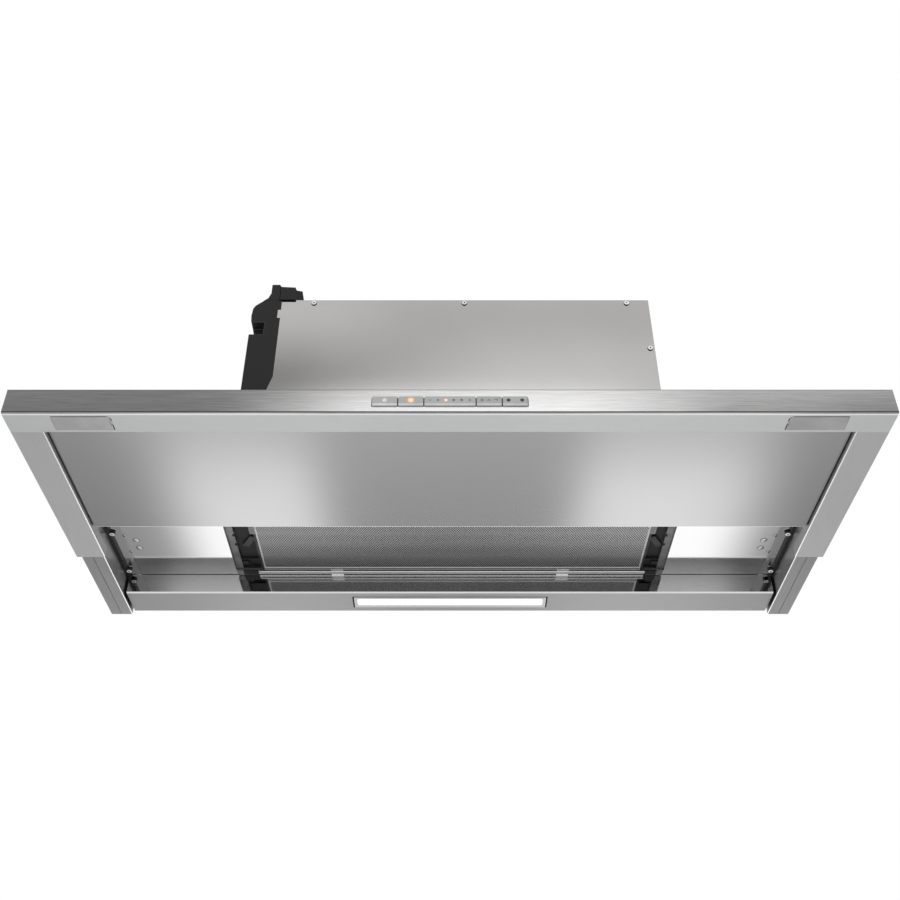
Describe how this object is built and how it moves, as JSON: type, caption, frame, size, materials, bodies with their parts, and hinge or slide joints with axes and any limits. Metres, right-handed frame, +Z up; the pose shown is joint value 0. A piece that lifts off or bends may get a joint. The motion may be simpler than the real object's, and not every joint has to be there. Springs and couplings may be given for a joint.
{
  "type": "pull-out range hood",
  "caption": "Built-in range hood with a steel screen that pulls out on telescopic slides, a tilting grease filter, a lamp bar, push keys and a blower housing on top.",
  "frame": {"origin": "middle of the rear edge of the tray's top face, in the plane that hangs against the cabinet's underside", "axes": "+X right seen from the front, +Y from the fascia to the wall, +Z up"},
  "size_m": [0.895, 0.4315, 0.388],
  "materials": {
    "fascia_steel": "fine horizontal brushing",
    "frame_steel": "satin",
    "plate_steel": "smooth satin",
    "tray_steel": "bright, near mirror",
    "housing_steel": "matt galvanised",
    "zinc": "zinc plated",
    "bright_screw": "bright",
    "black_plastic": "fine grain",
    "grey_plastic": "satin",
    "key_plastic": "satin",
    "cover_plastic": "satin",
    "white_plastic": "satin",
    "diffuser": "frosted, lit",
    "board": "solder mask",
    "filter_metal": "bright rolled",
    "filter_mesh": "perforated",
    "motor_metal": "painted",
    "shaft_steel": "ground",
    "rubber": "matt"
  },
  "bodies": {
    "hood": {"ceiling_plate": "tray_steel", "left_rail": "frame_steel", "right_rail": "frame_steel", "lamp_bar": "tray_steel", "lamp_housing": "white_plastic", "led_board": "board", "lamp_diffuser": "diffuser", "lamp_bezel": "frame_steel", "guide_strips": "black_plastic", "ceiling_rivets": "bright_screw", "cabinet_brackets": "zinc", "housing_base": "zinc", "housing_front": "housing_steel", "housing_shell": "housing_steel", "housing_top": "housing_steel", "pan_head_screws": "bright_screw", "end_casing": "black_plastic", "terminal_box": "black_plastic", "control_board": "board", "terminal_block": "white_plastic", "capacitor": "white_plastic", "cable_gland": "black_plastic", "scroll_left": "black_plastic", "scroll_right": "black_plastic", "motor_body": "motor_metal", "motor_bracket": "zinc", "exhaust_collar": "black_plastic", "flap_pin": "shaft_steel", "left_filter_carrier": "black_plastic", "right_filter_carrier": "black_plastic", "filter_catches": "bright_screw", "slide_fixed_members": "zinc", "bumpers": "rubber"},
    "fan": {"motor_shaft": "shaft_steel", "impeller": "grey_plastic"},
    "front_flap": {"front_flap": "grey_plastic"},
    "rear_flap": {"rear_flap": "grey_plastic"},
    "filter": {"filter_frame": "filter_metal", "filter_mesh_sheets": "filter_mesh", "filter_core": "filter_mesh"},
    "middle_slides": {"slide_middle_members": "zinc"},
    "outer_cages": {"outer_ball_cages": "shaft_steel"},
    "inner_cages": {"inner_ball_cages": "shaft_steel"},
    "screen": {"slide_inner_members": "zinc", "fascia": "fascia_steel", "fascia_back": "zinc", "fascia_end_caps": "fascia_steel", "front_strip": "frame_steel", "left_side_bar": "frame_steel", "right_side_bar": "frame_steel", "corner_covers": "cover_plastic", "screen_plate": "plate_steel", "screen_gaskets": "rubber", "control_housing": "black_plastic", "switch_board": "board"},
    "power_key": {"power_key": "key_plastic"},
    "light_key": {"light_key": "key_plastic"},
    "fan_rocker": {"fan_rocker": "key_plastic"},
    "timer_key": {"timer_key": "key_plastic"},
    "filter_key": {"filter_key": "key_plastic"}
  },
  "joints": [
    {"name": "screen_slide", "type": "slide", "parent": "hood", "child": "screen", "axis": [0, 1, 0], "range_m": [0, 0.148]},
    {"name": "middle_slide", "type": "slide", "parent": "hood", "child": "middle_slides", "axis": [0, 1, 0], "range_m": [0, 0.074]},
    {"name": "outer_cage_slide", "type": "slide", "parent": "hood", "child": "outer_cages", "axis": [0, 1, 0], "range_m": [0, 0.037]},
    {"name": "inner_cage_slide", "type": "slide", "parent": "hood", "child": "inner_cages", "axis": [0, 1, 0], "range_m": [0, 0.111]},
    {"name": "filter_tilt", "type": "hinge", "parent": "hood", "child": "filter", "pos_m": [0, -0.2148, 0.0033], "axis": [1, 0, 0], "range_deg": [-45, 0], "deforming": ["filter_catches"]},
    {"name": "fan_spin", "type": "hinge", "parent": "hood", "child": "fan", "pos_m": [0, -0.125, 0.125], "axis": [1, 0, 0], "continuous": true},
    {"name": "front_flap_swing", "type": "hinge", "parent": "hood", "child": "front_flap", "pos_m": [0, -0.1085, 0.34], "axis": [-1, 0, 0], "range_deg": [0, 60]},
    {"name": "rear_flap_swing", "type": "hinge", "parent": "hood", "child": "rear_flap", "pos_m": [0, -0.1085, 0.34], "axis": [1, 0, 0], "range_deg": [0, 60]},
    {"name": "power_key_press", "type": "slide", "parent": "screen", "child": "power_key", "axis": [0, 1, 0], "range_m": [0, 0.001], "stiffness_N_per_m": 600},
    {"name": "light_key_press", "type": "slide", "parent": "screen", "child": "light_key", "axis": [0, 1, 0], "range_m": [0, 0.001], "stiffness_N_per_m": 600},
    {"name": "timer_key_press", "type": "slide", "parent": "screen", "child": "timer_key", "axis": [0, 1, 0], "range_m": [0, 0.001], "stiffness_N_per_m": 600},
    {"name": "filter_key_press", "type": "slide", "parent": "screen", "child": "filter_key", "axis": [0, 1, 0], "range_m": [0, 0.001], "stiffness_N_per_m": 600},
    {"name": "fan_rocker_tilt", "type": "hinge", "parent": "screen", "child": "fan_rocker", "pos_m": [0, -0.4222, -0.021], "axis": [0, 0, 1], "range_deg": [-1.5, 1.5], "stiffness_Nm_per_rad": 0.5}
  ],
  "couplings": [
    {"joint": "middle_slide", "follows": "screen_slide", "ratio": 0.5},
    {"joint": "outer_cage_slide", "follows": "screen_slide", "ratio": 0.25},
    {"joint": "inner_cage_slide", "follows": "screen_slide", "ratio": 0.75}
  ]
}
